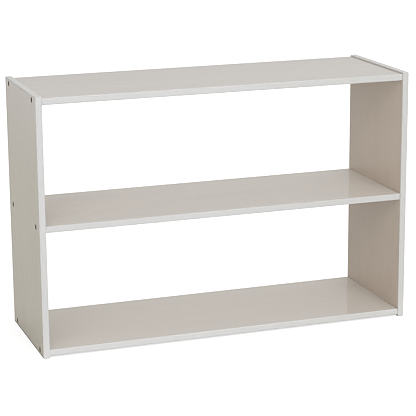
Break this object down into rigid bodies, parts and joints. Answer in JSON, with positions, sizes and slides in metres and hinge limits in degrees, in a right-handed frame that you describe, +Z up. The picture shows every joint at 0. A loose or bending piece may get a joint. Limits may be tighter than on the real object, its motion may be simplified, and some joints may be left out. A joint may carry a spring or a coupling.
{
  "type": "double-sided open shelf unit",
  "caption": "Low double-sided classroom shelf unit: flat side panels carry bolted shelves with banded edges, open through from front to back and free-standing on the floor.",
  "frame": {"origin": "on the floor, midway between the side panels and midway between the front and back edges", "axes": "+X across the unit to the right as seen from the front, +Y from front to back, +Z up"},
  "size_m": [0.914, 0.305, 0.61],
  "materials": {
    "grey_laminate": "satin warm grey washed laminate on board, faint grain",
    "edge_band": "satin pale grey edge band with rounded corners",
    "dark_bolt": "dark bronze coated steel",
    "zinc_nut": "bright zinc plated steel",
    "beech_dowel": "unfinished beech"
  },
  "bodies": {
    "root": {"left_side_panel": "grey_laminate", "right_side_panel": "grey_laminate", "top_shelf": "grey_laminate", "middle_shelf": "grey_laminate", "bottom_shelf": "grey_laminate", "left_front_edge_band": "edge_band", "left_back_edge_band": "edge_band", "left_top_edge_band": "edge_band", "left_bottom_edge_band": "edge_band", "right_front_edge_band": "edge_band", "right_back_edge_band": "edge_band", "right_top_edge_band": "edge_band", "right_bottom_edge_band": "edge_band", "top_shelf_front_edge_band": "edge_band", "top_shelf_back_edge_band": "edge_band", "middle_shelf_front_edge_band": "edge_band", "middle_shelf_back_edge_band": "edge_band", "bottom_shelf_front_edge_band": "edge_band", "bottom_shelf_back_edge_band": "edge_band", "top_shelf_left_bolts": "dark_bolt", "top_shelf_right_bolts": "dark_bolt", "middle_shelf_left_bolts": "dark_bolt", "middle_shelf_right_bolts": "dark_bolt", "bottom_shelf_left_bolts": "dark_bolt", "bottom_shelf_right_bolts": "dark_bolt", "top_shelf_left_barrel_nuts": "zinc_nut", "top_shelf_right_barrel_nuts": "zinc_nut", "middle_shelf_left_barrel_nuts": "zinc_nut", "middle_shelf_right_barrel_nuts": "zinc_nut", "bottom_shelf_left_barrel_nuts": "zinc_nut", "bottom_shelf_right_barrel_nuts": "zinc_nut", "top_shelf_left_dowels": "beech_dowel", "top_shelf_right_dowels": "beech_dowel", "middle_shelf_left_dowels": "beech_dowel", "middle_shelf_right_dowels": "beech_dowel", "bottom_shelf_left_dowels": "beech_dowel", "bottom_shelf_right_dowels": "beech_dowel"}
  },
  "joints": []
}
